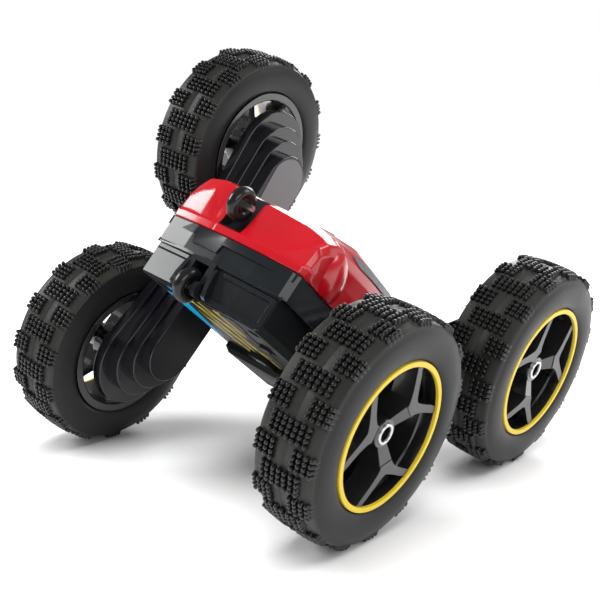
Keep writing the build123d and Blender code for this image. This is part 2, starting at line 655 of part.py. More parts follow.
def build_nodes():
    """Every piece of the car, in car coordinates."""
    nodes = {}
    body = Rot(0, BODY_PITCH, 0)
    body_pieces = {
        "upper_shell": upper_shell(),
        "bumper_band": bumper_band(),
        "lower_shell": lower_shell(),
        "shell_screws": shell_screws(),
        "battery_cover": battery_cover(),
        "battery_cover_screw": battery_screw(),
        "battery_pack": battery_pack(),
        "circuit_board": circuit_board(),
        "switch_housing": switch_housing(),
        "switch_slider": switch_slider(),
        "roller_pins": [roller_pin(ROLLER_TOP_Z), roller_pin(ROLLER_LOW_Z)],
        "upper_roller": roller(ROLLER_TOP_Z),
        "lower_roller": roller(ROLLER_LOW_Z),
        "underside_label": underside_label(),
        "window_stickers": window_stickers(),
    }
    for name, piece in body_pieces.items():
        nodes[name] = moved(body, piece)

    arm_pieces = {
        "arm_housing": arm_housing(),
        "arm_cover": arm_cover(),
        "arm_screws": arm_screw_group(),
        "motor": arm_motor(),
        "retaining_ring": retaining_ring(),
    }
    gear_turns = {}
    for name, teeth, x, z, turn in train():
        if name.endswith("wheel_gear"):
            gear_turns[name.split("_")[0]] = turn
            continue
        bore = 1.0 if name == "pinion" else GEAR_POST_RADIUS + RUNNING_GAP
        toothed = Rot(0, -math.degrees(turn), 0) * gear(teeth, GEAR_WIDTH, bore)
        arm_pieces[name] = Pos(x, GEAR_PLANE_Y, z) * toothed

    tyre_piece = tyre()
    sides = {"left": Rot(0, LEFT_ARM_TURN, 0), "right": Rot(0, 0, 0)}
    for side, place in sides.items():
        for name, piece in arm_pieces.items():
            piece = piece if side == "left" else mirrored(piece)
            nodes[f"{side}_{name}"] = moved(place, piece)
        for end, sign in (("front", 1), ("rear", -1)):
            key = f"{side}_{end}"
            hub = Pos(sign * WHEEL_REACH, TRACK / 2, -AXLE_DROP)
            wheel_pieces = {
                "tyre": tyre_piece,
                "rim": rim(SPOKE_PHASE_DEG[key]),
                "trim_ring": trim_ring(),
                "hub_ring": hub_ring(),
                "axle_screw": axle_screw(),
                "drive_shaft": drive_shaft(gear_turns[end]),
            }
            for name, piece in wheel_pieces.items():
                piece = moved(hub, piece)
                piece = piece if side == "left" else mirrored(piece)
                nodes[f"{key}_{name}"] = moved(place, piece)
    return nodes


def as_shape(piece):
    """One shape for export, keeping separate solids separate."""
    if isinstance(piece, list):
        solids = [solid for item in piece for solid in item.solids()]
        return Compound(solids)
    solids = piece.solids()
    return solids[0] if len(solids) == 1 else Compound(list(solids))


def stance(nodes):
    """Lean of the car, with its lowest tyre edge on the floor and its middle over the origin."""
    lean = Rot(STANCE_ROLL, 0, 0)
    tyres = [lean * nodes[name] for name in nodes if name.endswith("_tyre")]
    bounds = Compound([item for tyre_piece in tyres for item in tyre_piece.solids()]).bounding_box()
    middle = (bounds.min + bounds.max) / 2
    return Pos(-middle.X, -middle.Y, -bounds.min.Z) * lean


def main():
    os.makedirs("parts", exist_ok=True)
    nodes = build_nodes()
    place = stance(nodes)
    for name, piece in nodes.items():
        shape = place * as_shape(piece)
        export_step(shape, f"parts/{name}.step")
    print(len(nodes), "nodes; stance", place)


if __name__ == "__main__":
    main()
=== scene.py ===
"""Looks of the radio-controlled stunt car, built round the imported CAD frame."""
import json
import math
import random

import bmesh
import bpy
from mathutils import Matrix, Vector


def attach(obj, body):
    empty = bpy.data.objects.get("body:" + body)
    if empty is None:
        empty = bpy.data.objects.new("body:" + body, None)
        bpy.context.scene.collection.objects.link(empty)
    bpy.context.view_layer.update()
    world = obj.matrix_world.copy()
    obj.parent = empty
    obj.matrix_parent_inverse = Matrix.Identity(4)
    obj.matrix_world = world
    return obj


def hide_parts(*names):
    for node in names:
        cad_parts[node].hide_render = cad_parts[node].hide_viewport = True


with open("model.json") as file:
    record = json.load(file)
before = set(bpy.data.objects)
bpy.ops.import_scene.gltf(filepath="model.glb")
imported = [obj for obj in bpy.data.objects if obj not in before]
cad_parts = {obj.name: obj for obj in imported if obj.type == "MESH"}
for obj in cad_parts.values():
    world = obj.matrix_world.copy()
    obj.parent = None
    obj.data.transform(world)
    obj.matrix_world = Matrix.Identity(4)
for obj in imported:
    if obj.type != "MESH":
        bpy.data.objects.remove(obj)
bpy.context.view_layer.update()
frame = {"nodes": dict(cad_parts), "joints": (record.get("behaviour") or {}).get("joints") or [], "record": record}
joints = {joint["name"]: joint for joint in frame["joints"]}

# ---- Sizes, in millimetres unless a name says otherwise -----------------------------
MM = 0.001
RING_SEGMENTS = 96
WHEELS = ("right_rear", "right_front", "left_rear", "left_front")

CROWN_RADIUS = 45.2
SHOULDER_RADIUS = 44.2
SHOULDER_Y = 12.8
PADS_ROUND = 15
NUBS_ALONG = 4
NUB_PITCH_ALONG = 2.05
NUB_PITCH_ACROSS = 2.62
NUB_RADIUS = 0.92
NUB_HEIGHT = 1.9
NUB_SIDES = 8
NUB_SINK = 0.3               # foot of a nub below the bare tread
MIDDLE_NUB_ROWS = 7
SHOULDER_NUB_ROWS = 4
SHOULDER_ROW_START_Y = 4.7
SHOULDER_ROW_PITCH = 2.5
OUTER_ROW_Y = 12.65          # last row, which stands lower on the shoulder
OUTER_ROW_DROP = 1.3
TYRE_SEGMENTS = 120
TREAD_FINISH_RADIUS = 42.9   # the tread's finish starts here
FIRST_TYRE_SEED = 11

SPOKE_FACE_Y = 13.0
SPOKE_TIP_RADIUS = 28.6
SPOKE_FORK_DEG = 30.5
SPOKE_PHASE_DEG = {"right_rear": 40.0, "right_front": 10.7, "left_front": 25.0, "left_rear": 55.0}
HUB_BORE_CLEAR_RADIUS = 3.05

WHEEL_REACH = 57.85
AXLE_DROP = 4.2
ARM_INNER_Y = 43.5
ARM_OUTER_Y = 64.5

SEAM_Z = -2.4
BOTTOM_Z = -29.5
ROOF_Z = 29.6
ROOF_REAR_X = -24.0
ROOF_REAR_DROP = 0.4
TAIL_INSIDE_X = -66.0
SLOT_LEFT_Y = 10.4
SLOT_RIGHT_Y = -2.2
BULGE_PLACES = ((-45.5, 1), (-45.5, -1), (45.0, 1), (45.0, -1))  # x, side
BULGE_MIDDLE_Y = 26.0
BULGE_MIDDLE_Z = 4.0
BULGE_RADII = (16.5, 13.2, 17.6)
REAR_FILM_HALF_WIDTH = 15.0
LABEL_LOW_Z = BOTTOM_Z - 0.22
LABEL_HIGH_Z = BOTTOM_Z + 0.05

# ---- Stage and camera; lights and floor in metres ------------------------------------
FLOOR_HALF_SIZE = 60.0
FLOOR_BELOW = 0.0002
CAR_MIDDLE = (0, 0, 0.08)
WORLD_LIGHT = 0.22           # what the world gives to everything but the camera
CAMERA_RIGHT = (0.63690, -0.77092, 0.00658)
CAMERA_UP = (0.15321, 0.13493, 0.97894)
CAMERA_FROM_PIVOT = (-364.431, -298.737, 100.989)  # millimetres
CAMERA_LENS = 64.3
CAMERA_SENSOR = 36.0


# ---- Frames taken from the joints ---------------------------------------------------
def local_frame(origin, x_axis, y_axis, z_axis):
    """Matrix from millimetres in a local frame to metres in the shared frame."""
    columns = [Vector(axis) * MM for axis in (x_axis, y_axis, z_axis)]
    matrix = Matrix((columns[0], columns[1], columns[2])).transposed().to_4x4()
    matrix.translation = Vector(origin)
    return matrix


def joint_place(name):
    return Vector(joints[name]["pos_m"])


car_y = Vector(joints["left_arm_turn"]["axis"])
pivot = (joint_place("left_arm_turn") + joint_place("right_arm_turn")) / 2
nose = Vector(joints["power_switch"]["axis"])
BODY = local_frame(pivot, nose, car_y, nose.cross(car_y))


def arm_frame(side):
    """Arm frame: X from rear to front wheel, Y outward, Z as on the car."""
    rear = joint_place(f"{side}_rear_wheel_spin")
    along = (joint_place(f"{side}_front_wheel_spin") - rear).normalized()
    outward = car_y if side == "left" else -car_y
    return local_frame(pivot, along, outward, along.cross(car_y))


def wheel_frame(wheel):
    """Same axes as its arm, from the middle of the wheel."""
    matrix = arm_frame(wheel.split("_")[0])
    matrix.translation = joint_place(f"{wheel}_wheel_spin")
    return matrix


# ---- Mesh helpers -------------------------------------------------------------------
def piece_from(bm, name, matrix, materials, smooth_deg=32.0):
    """Mesh object in the shared frame from a bmesh in a local frame."""
    bm.transform(matrix)
    if matrix.determinant() < 0:
        bmesh.ops.reverse_faces(bm, faces=bm.faces)
    mesh = bpy.data.meshes.new(name)
    bm.to_mesh(mesh)
    bm.free()
    for material in materials:
        mesh.materials.append(material)
    mesh.shade_smooth()
    mesh.set_sharp_from_angle(angle=math.radians(smooth_deg))
    piece = bpy.data.objects.new(name, mesh)
    bpy.context.scene.collection.objects.link(piece)
    return piece


def soften(piece, width, segments=2, angle_deg=30.0):
    """Rounded edges for a hard part; width in millimetres."""
    bevel = piece.modifiers.new("rounded_edges", "BEVEL")
    bevel.width = width * MM
    bevel.segments = segments
    bevel.limit_method = "ANGLE"
    bevel.angle_limit = math.radians(angle_deg)
    bevel.harden_normals = True
    return piece


def lathe(bm, profile, closed=True, segments=RING_SEGMENTS, material=0):
    """Turn a (radius, y) profile about Y."""
    rings = []
    for index in range(segments):
        angle = 2 * math.pi * index / segments
        rings.append([
            bm.verts.new((radius * math.cos(angle), y, radius * math.sin(angle))) for radius, y in profile
        ])
    count = len(profile)
    for index in range(segments):
        here, there = rings[index], rings[(index + 1) % segments]
        for k in range(count if closed else count - 1):
            after = (k + 1) % count
            face = bm.faces.new((here[k], here[after], there[after], there[k]))
            face.material_index = material
    return bm


def plate(bm, outline, y_low, y_high, material=0, face_material=None):
    """Solid plate from an outline in X, Z; its outer face may have its own material."""
    low = [bm.verts.new((x, y_low, z)) for x, z in outline]
    high = [bm.verts.new((x, y_high, z)) for x, z in outline]
    count = len(outline)
    for k in range(count):
        after = (k + 1) % count
        face = bm.faces.new((low[k], low[after], high[after], high[k]))
        face.material_index = material
    back = bm.faces.new(low[::-1])
    back.material_index = material
    front = bm.faces.new(high)
    front.material_index = material if face_material is None else face_material
    return high


def loft(bm, rows, material=0, close_ends=True):
    """Skin between rows of points; each row is a closed loop."""
    loops = [[bm.verts.new(point) for point in row] for row in rows]
    count = len(rows[0])
    for first, second in zip(loops, loops[1:]):
        for k in range(count):
            after = (k + 1) % count
            face = bm.faces.new((first[k], first[after], second[after], second[k]))
            face.material_index = material
    if close_ends:
        bm.faces.new(loops[0][::-1]).material_index = material
        bm.faces.new(loops[-1]).material_index = material
    return loops


def fix_normals(bm):
    bmesh.ops.recalc_face_normals(bm, faces=bm.faces)
    return bm


def arc(centre_x, centre_z, radius, start_deg, end_deg, steps):
    """Points along an arc in X, Z."""
    points = []
    for k in range(steps + 1):
        angle = math.radians(start_deg + (end_deg - start_deg) * k / steps)
        points.append((centre_x + radius * math.cos(angle), centre_z + radius * math.sin(angle)))
    return points


# ---- Materials ----------------------------------------------------------------------
def material(name, colour, roughness, metallic=0.0, coat=0.0, grain=400.0, bump=0.05, mottle=0.12,
             wear=0.15, specular=0.5):
    """Procedural finish: mottled colour, uneven roughness and a fine grain."""
    look = bpy.data.materials.new(name)
    look.use_nodes = True
    nodes, links = look.node_tree.nodes, look.node_tree.links
    shader = nodes["Principled BSDF"]
    shader.inputs["Metallic"].default_value = metallic
    shader.inputs["Coat Weight"].default_value = coat
    shader.inputs["Coat Roughness"].default_value = 0.08
    shader.inputs["Specular IOR Level"].default_value = specular
    place = nodes.new("ShaderNodeTexCoord")

    cloud = nodes.new("ShaderNodeTexNoise")
    cloud.inputs["Scale"].default_value = 45.0
    cloud.inputs["Detail"].default_value = 4.0
    links.new(place.outputs["Object"], cloud.inputs["Vector"])
    blend = nodes.new("ShaderNodeMix")
    blend.data_type = "RGBA"
    dark = [max(0.0, c * (1 - mottle)) for c in colour]
    light = [min(1.0, c * (1 + mottle) + 0.004) for c in colour]
    blend.inputs[6].default_value = (*dark, 1)
    blend.inputs[7].default_value = (*light, 1)
    links.new(cloud.outputs["Fac"], blend.inputs[0])
    links.new(blend.outputs[2], shader.inputs["Base Color"])

    fine = nodes.new("ShaderNodeTexNoise")
    fine.inputs["Scale"].default_value = grain
    fine.inputs["Detail"].default_value = 6.0
    links.new(place.outputs["Object"], fine.inputs["Vector"])
    spread = nodes.new("ShaderNodeMapRange")
    spread.inputs["From Min"].default_value = 0.3
    spread.inputs["From Max"].default_value = 0.7
    spread.inputs["To Min"].default_value = max(0.02, roughness * (1 - wear))
    spread.inputs["To Max"].default_value = min(1.0, roughness * (1 + wear))
    links.new(cloud.outputs["Fac"], spread.inputs["Value"])
    links.new(spread.outputs["Result"], shader.inputs["Roughness"])
    relief = nodes.new("ShaderNodeBump")
    relief.inputs["Strength"].default_value = bump
    relief.inputs["Distance"].default_value = 0.0003
    links.new(fine.outputs["Fac"], relief.inputs["Height"])
    links.new(relief.outputs["Normal"], shader.inputs["Normal"])
    return look


LOOKS = {
    "red_shell": material("red_gloss", (0.42, 0.0015, 0.008), 0.2, coat=0.3, grain=900, bump=0.02,
                          mottle=0.05, specular=0.4),
    "black_gloss": material("black_gloss_plastic", (0.006, 0.008, 0.010), 0.24, coat=0.1, bump=0.02,
                            specular=0.35),
    "belly_black": material("belly_plastic", (0.008, 0.009, 0.010), 0.5, grain=1500, bump=0.08, specular=0.1),
    "arm_black": material("arm_gloss_plastic", (0.005, 0.005, 0.007), 0.16, coat=0.3, bump=0.015,
                          specular=0.4),
    "black_matte": material("black_satin_plastic", (0.010, 0.011, 0.012), 0.45, grain=1500, bump=0.12,
                            specular=0.15),
    "tyre_rubber": material("tyre_sidewall", (0.008, 0.008, 0.009), 0.42, grain=700, bump=0.1, mottle=0.25,
                            specular=0.25),
    "tread": material("tread_rubber", (0.017, 0.018, 0.015), 0.5, grain=1300, bump=0.5, mottle=0.5,
                      wear=0.3, specular=0.35),
    "nub": material("nub_rubber", (0.004, 0.004, 0.004), 0.3, grain=1500, bump=0.06, mottle=0.3,
                    specular=0.45),
    "rim_black": material("rim_gloss", (0.009, 0.009, 0.010), 0.2, coat=0.5, bump=0.03),
    # Spokes' front faces: lighter grey than the rest of the black rim, a painted sheen of the light from the
    # front.
    "spoke_face_sheen": material("rim_face_painted_sheen", (0.045, 0.046, 0.05), 0.36, grain=1200, bump=0.06, mottle=0.1),
    "yellow_trim": material("yellow_paint", (0.68, 0.49, 0.01), 0.4, grain=1000, bump=0.04, mottle=0.08),
    "bright_ring": material("bright_ring", (0.62, 0.62, 0.63), 0.25, metallic=0.8, bump=0.03),
    "steel": material("steel", (0.45, 0.45, 0.46), 0.3, metallic=1.0, bump=0.06),
    "motor_can": material("motor_can", (0.5, 0.5, 0.5), 0.25, metallic=1.0, bump=0.04),
    "nylon": material("nylon", (0.75, 0.74, 0.70), 0.45, bump=0.06),
    "brass_pinion": material("brass", (0.70, 0.48, 0.16), 0.28, metallic=1.0, bump=0.05),
    "roller_black": material("roller_plastic", (0.006, 0.005, 0.005), 0.25, bump=0.03, specular=0.4),
    "board_green": material("board_lacquer", (0.01, 0.14, 0.05), 0.35, bump=0.08),
    "cell_wrap": material("cell_wrap", (0.03, 0.12, 0.42), 0.3, bump=0.03),
    "window_grey": material("window_film", (0.11, 0.115, 0.125), 0.28, bump=0.02, specular=0.4),
    "arm_face": material("arm_face_satin", (0.010, 0.010, 0.012), 0.3, grain=1800, bump=0.06, specular=0.3),
    # Grey of the plate at the arm's rear end: a painted reflection on the black arm.
    "arm_reflection_paint": material("arm_painted_reflection", (0.125, 0.13, 0.138), 0.42, grain=1800, bump=0.08),
}


def label_material():
    """Generic printed label: black with slanted yellow lines and a blue edge band."""
    look = material("printed_label", (0.008, 0.008, 0.008), 0.5, bump=0.02, specular=0.15)
    nodes, links = look.node_tree.nodes, look.node_tree.links
    shader = nodes["Principled BSDF"]
    base = shader.inputs["Base Color"].links[0].from_socket
    place = nodes.new("ShaderNodeAttribute")
    place.attribute_name = "label_place"
    split = nodes.new("ShaderNodeSeparateXYZ")
    links.new(place.outputs["Vector"], split.inputs["Vector"])

    def maths(operation, first, second=None, third=None):
        node = nodes.new("ShaderNodeMath")
        node.operation = operation
        for socket, value in zip(node.inputs, (first, second, third)):
            if value is None:
                continue
            if isinstance(value, (int, float)):
                socket.default_value = value
            else:
                links.new(value, socket)
        return node.outputs[0]

    along, across = split.outputs["X"], split.outputs["Y"]
    slanted = maths("ADD", across, maths("MULTIPLY", along, 0.14))
    lengthwise = maths("LESS_THAN", maths("PINGPONG", slanted, 4.2), 0.6)
    steep = maths("ADD", along, maths("MULTIPLY", across, 0.9))
    crosswise = maths("LESS_THAN", maths("PINGPONG", steep, 12.0), 0.7)
    line = maths("MAXIMUM", lengthwise, crosswise)
    inside = maths("LESS_THAN", maths("ABSOLUTE", maths("SUBTRACT", across, 1.5)), 12.5)
    yellow = maths("MULTIPLY", line, inside)
    blue = maths("GREATER_THAN", maths("SUBTRACT", across, maths("MULTIPLY", along, 0.2)), 26.5)
    for mask, colour in ((yellow, (0.85, 0.66, 0.02, 1)), (blue, (0.0, 0.36, 0.70, 1))):
        layer = nodes.new("ShaderNodeMix")
        layer.data_type = "RGBA"
        links.new(mask, layer.inputs[0])
        links.new(base, layer.inputs[6])
        layer.inputs[7].default_value = colour
        base = layer.outputs[2]
    links.new(base, shader.inputs["Base Color"])
    return look


# ---- Wheels -------------------------------------------------------------------------
def tread_radius(y):
    """Radius of the bare tread at a distance from the middle of the tyre."""
    share = abs(y) / SHOULDER_Y
    return CROWN_RADIUS - (CROWN_RADIUS - SHOULDER_RADIUS) * share * share


def tyre_profile():
    """Closed (radius, y) outline of the tyre, with a shallow groove round its middle."""
    half = [
        (45.0, 0.0), (45.0, 0.12), (CROWN_RADIUS, 0.3), (tread_radius(4), 4.0), (tread_radius(8), 8.0),
        (tread_radius(12), 12.0), (44.0, 12.9), (43.7, 13.3), (43.2, 13.5), (42.6, 13.6), (41.5, 14.1),
        (40.0, 14.5), (38.0, 14.75), (36.0, 14.8), (34.0, 14.65), (32.4, 14.3), (31.3, 13.8), (30.7, 13.3),
        (30.55, 12.9),
    ]
    other = [(radius, -y) for radius, y in reversed(half) if y > 0]
    return half + other


def add_nub(bm, turn, y, rng, drop=0.0):
    """One round-topped rubber nub standing on the tread."""
    base_radius = tread_radius(y) - NUB_SINK - drop
    lean_y = rng.uniform(-0.10, 0.10)
    lean_t = rng.uniform(-0.10, 0.10)
    up = Vector((math.cos(turn), 0, math.sin(turn)))
    side = Vector((-math.sin(turn), 0, math.cos(turn)))
    across = Vector((0, 1, 0))
    foot = up * base_radius + across * y
    height = NUB_HEIGHT + NUB_SINK
    rings = []
    for rise, radius in ((0.0, 1.12), (0.75, 1.0), (0.93, 0.8), (1.0, 0.42)):
        middle = foot + (up + side * lean_t + across * lean_y).normalized() * height * rise
        ring = []
        for k in range(NUB_SIDES):
            angle = 2 * math.pi * k / NUB_SIDES
            spoke = side * math.cos(angle) + across * math.sin(angle)
            ring.append(bm.verts.new(middle + spoke * NUB_RADIUS * radius))
        rings.append(ring)
    for first, second in zip(rings, rings[1:]):
        for k in range(NUB_SIDES):
            after = (k + 1) % NUB_SIDES
            bm.faces.new((first[k], first[after], second[after], second[k])).material_index = 1
    bm.faces.new(rings[-1]).material_index = 1


def tyre(wheel, seed):
    """Rubber tyre with staggered pads of nubs."""
    rng = random.Random(seed)
    bm = bmesh.new()
    lathe(bm, tyre_profile(), segments=TYRE_SEGMENTS)
    for face in bm.faces:
        middle = face.calc_center_median()
        if math.hypot(middle.x, middle.z) > TREAD_FINISH_RADIUS:
            face.material_index = 2
    middle_rows = [(k - MIDDLE_NUB_ROWS // 2) * NUB_PITCH_ACROSS for k in range(MIDDLE_NUB_ROWS)]
    shoulder_rows = [SHOULDER_ROW_START_Y + k * SHOULDER_ROW_PITCH for k in range(SHOULDER_NUB_ROWS)]
    for pad in range(PADS_ROUND):
        for along in range(NUBS_ALONG):
            step = (along - (NUBS_ALONG - 1) / 2) * NUB_PITCH_ALONG / CROWN_RADIUS
            turn = 2 * math.pi * pad / PADS_ROUND + step
            for y in middle_rows:
                add_nub(bm, turn, y, rng)
            turn += math.pi / PADS_ROUND
            for sign in (1, -1):
                for y in shoulder_rows:
                    add_nub(bm, turn, sign * y, rng)
                add_nub(bm, turn, sign * OUTER_ROW_Y, rng, drop=OUTER_ROW_DROP)
    fix_normals(bm)
    looks = [LOOKS["tyre_rubber"], LOOKS["nub"], LOOKS["tread"]]
    piece = piece_from(bm, f"{wheel}_rubber_tyre", wheel_frame(wheel), looks, 50)
    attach(piece, f"{wheel}_wheel")
    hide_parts(f"{wheel}_tyre")


def fork_outline():
    """Wishbone of one spoke, from its node out to the ring."""
    tip = SPOKE_TIP_RADIUS
    outer, inner = SPOKE_FORK_DEG + 4.2, SPOKE_FORK_DEG - 3.6

    def at(radius, degrees):
        angle = math.radians(degrees)
        return radius * math.cos(angle), radius * math.sin(angle)

    upper = [
        (11.9, 3.3), (13.2, 3.8), (14.6, 4.9), (16.8, 7.2), (18.8, 9.9), (21.0, 13.2),
        at(27.0, outer - 0.6), at(tip, outer + 0.6), at(tip, inner - 0.4), at(27.0, inner + 0.2),
        (22.9, 9.9), (20.8, 6.8), (19.0, 3.9), (17.6, 1.4),
    ]
    lower = [(x, -z) for x, z in reversed(upper)]
    return upper + [(17.2, 0.0)] + lower


def turned(outline, degrees):
    c, s = math.cos(math.radians(degrees)), math.sin(math.radians(degrees))
    return [(x * c - z * s, x * s + z * c) for x, z in outline]


def rim(wheel):
    """Gloss black wheel: stepped barrel, three forked spokes and a dished hub."""
    bm = bmesh.new()
    lathe(bm, [
        (30.4, 12.9), (28.1, 12.9), (27.9, 12.4), (27.9, 8.0), (27.3, 7.4), (26.6, -6.0), (26.6, -13.6),
        (27.2, -14.2), (30.4, -14.2),
    ])
    lathe(bm, [
        (5.9, -6.0), (6.2, 6.0), (6.0, 9.8), (5.7, 10.3), (HUB_BORE_CLEAR_RADIUS, 10.3),
        (HUB_BORE_CLEAR_RADIUS, 6.0), (2.6, 6.0), (2.6, -6.0),
    ], segments=48)
    lathe(bm, [(9.2, -6.5), (9.2, 1.2), (8.6, 1.8), (5.8, 1.8), (5.8, -6.5)], segments=48)
    for index in range(3):
        phase = SPOKE_PHASE_DEG[wheel] + 120 * index
        # The spokes' front faces take the lighter grey of the painted sheen; their sides stay gloss black.
        plate(bm, turned(fork_outline(), phase), 3.6, SPOKE_FACE_Y, 0, 1)
        stem = turned([(4.6, -2.6), (12.6, -3.6), (12.6, 3.6), (4.6, 2.6)], phase)
        top = plate(bm, stem, 1.5, 12.8)
        top[0].co.y = top[3].co.y = 9.6
    fix_normals(bm)
    looks = [LOOKS["rim_black"], LOOKS["spoke_face_sheen"]]
    piece = piece_from(bm, f"{wheel}_spoked_rim", wheel_frame(wheel), looks)
    soften(piece, 0.28)
    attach(piece, f"{wheel}_wheel")
    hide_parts(f"{wheel}_rim")


def trim_rings(wheel):
    """Painted ring at the rim's edge and the bright ring round the hub bore."""
    trim = [
        (28.05, 12.7), (30.2, 12.7), (30.2, 13.7), (30.0, 13.95), (28.5, 14.05), (28.15, 13.9), (28.05, 13.5),
    ]
    hub = [
        (HUB_BORE_CLEAR_RADIUS, 10.2), (4.3, 10.2), (4.3, 10.8), (4.1, 11.0), (3.2, 11.0),
        (HUB_BORE_CLEAR_RADIUS, 10.8),
    ]
    rings = {"trim_ring": ("yellow_trim", trim), "hub_ring": ("bright_ring", hub)}
    for name, (look, profile) in rings.items():
        bm = lathe(bmesh.new(), profile)
        fix_normals(bm)
        piece = piece_from(bm, f"{wheel}_{name}_painted", wheel_frame(wheel), [LOOKS[look]], 45)
        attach(piece, f"{wheel}_wheel")
        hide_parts(f"{wheel}_{name}")


# ---- Arms ---------------------------------------------------------------------------
ARM_LAYERS = (  # outboard depth, reach, end radius, half width
    (ARM_INNER_Y, 62.0, 13.6, 12.8),
    (48.8, 68.3, 15.8, 14.2),
    (54.1, 74.6, 18.2, 15.4),
    (59.4, 81.0, 22.0, 16.4),
)


def arm_outline(reach, radius, half):
    """Bar whose straight sides run from its middle to touch the round end at each wheel."""
    centre = reach - radius
    lift = AXLE_DROP / 2
    above = math.hypot(centre, half + lift)
    below = math.hypot(centre, half - lift)
    top = math.atan2(half + lift, -centre) - math.acos(radius / above)
    bottom = math.atan2(lift - half, -centre) + math.acos(radius / below)
    right = arc(centre, -AXLE_DROP, radius, math.degrees(bottom), math.degrees(top), 28)
    left = [(-x, z) for x, z in reversed(right)]
    return right + [(0.0, half - lift)] + left + [(0.0, -half - lift)]


def arm(side):
    """Terraced gloss arm with a grey plate at its rear end that is a painted reflection, its barrel into the body
    and its wheel bearings.
    """
    bm = bmesh.new()
    for index, (depth, reach, radius, half) in enumerate(ARM_LAYERS):
        last = index == len(ARM_LAYERS) - 1
        stop = ARM_OUTER_Y if last else ARM_LAYERS[index + 1][0] + 0.8
        outline = arm_outline(reach, radius, half)
        low = [bm.verts.new((x, depth, z)) for x, z in outline]
        high = [bm.verts.new((x, stop, z)) for x, z in outline]
        count = len(outline)
        for k in range(count):
            after = (k + 1) % count
            bm.faces.new((low[k], low[after], high[after], high[k]))
        bm.faces.new(low[::-1]).material_index = 1 if index == 0 else 0
        bm.faces.new(high)
    fix_normals(bm)
    piece = piece_from(bm, f"{side}_terraced_arm", arm_frame(side), [LOOKS["arm_black"], LOOKS["arm_face"]])
    soften(piece, 0.55, 3, 25)
    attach(piece, f"{side}_arm")
    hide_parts(f"{side}_arm_housing", f"{side}_arm_cover")

    reach, radius, _ = ARM_LAYERS[0][1:]
    end_x = radius - reach
    round_end = arc(end_x, -AXLE_DROP, radius - 1.3, 97, 261, 24)
    # Grey plate on the arm's inner face at its rear end: a painted reflection; the arm itself is black there.
    bm = bmesh.new()
    plate(bm, round_end + [(-19.0, -12.4), (-19.0, 8.4)], ARM_INNER_Y - 0.35, ARM_INNER_Y + 0.3)
    fix_normals(bm)
    reflection_plate = piece_from(bm, f"{side}_arm_painted_reflection_plate", arm_frame(side), [LOOKS["arm_reflection_paint"]])
    soften(reflection_plate, 0.2)
    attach(reflection_plate, f"{side}_arm")

    bm = bmesh.new()
    lathe(bm, [(13.5, 16.0), (13.5, 42.0), (17.2, 42.6), (17.2, ARM_INNER_Y + 0.6), (8.0, ARM_INNER_Y + 0.6),
               (8.0, 16.4), (8.4, 16.0)], segments=64)
    fix_normals(bm)
    barrel = piece_from(bm, f"{side}_arm_barrel", arm_frame(side), [LOOKS["arm_black"]])
    soften(barrel, 0.3)
    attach(barrel, f"{side}_arm")

    bm = bmesh.new()
    for end in (1, -1):
        start = len(bm.verts)
        lathe(bm, [(9.0, ARM_OUTER_Y - 0.5), (9.0, 69.8), (8.4, 70.4), (3.0, 70.4), (3.0, ARM_OUTER_Y - 0.5)],
              segments=48)
        bm.verts.ensure_lookup_table()
        for vert in bm.verts[start:]:
            vert.co.x += end * WHEEL_REACH
            vert.co.z -= AXLE_DROP
    fix_normals(bm)
    bearings = piece_from(bm, f"{side}_wheel_bearings", arm_frame(side), [LOOKS["arm_black"]])
    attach(bearings, f"{side}_arm")


# ---- Body ---------------------------------------------------------------------------
def shell_row(y, lip, mid, crest, shelf, roof_z):
    """Side profile of the red shell at one distance from the centre line, tail to nose."""
    tail = [
        (-lip, SEAM_Z), (-lip, 1.4), (1.0 - lip, 2.0), (-mid[0], mid[1]), (-crest[0], crest[1]),
        (-shelf[0], shelf[1]), (ROOF_REAR_X, roof_z - ROOF_REAR_DROP), (-18.0, roof_z),
    ]
    nose = [
        (12.0, roof_z), (30.0, min(roof_z, 22.5)), (lip - 12.0, min(roof_z, 14.0)),
        (lip - 4.0, min(roof_z - 1.0, 8.0)), (lip - 1.0, 2.0), (lip, 1.4), (lip, SEAM_Z),
    ]
    return [(x, y, z) for x, z in tail + nose]


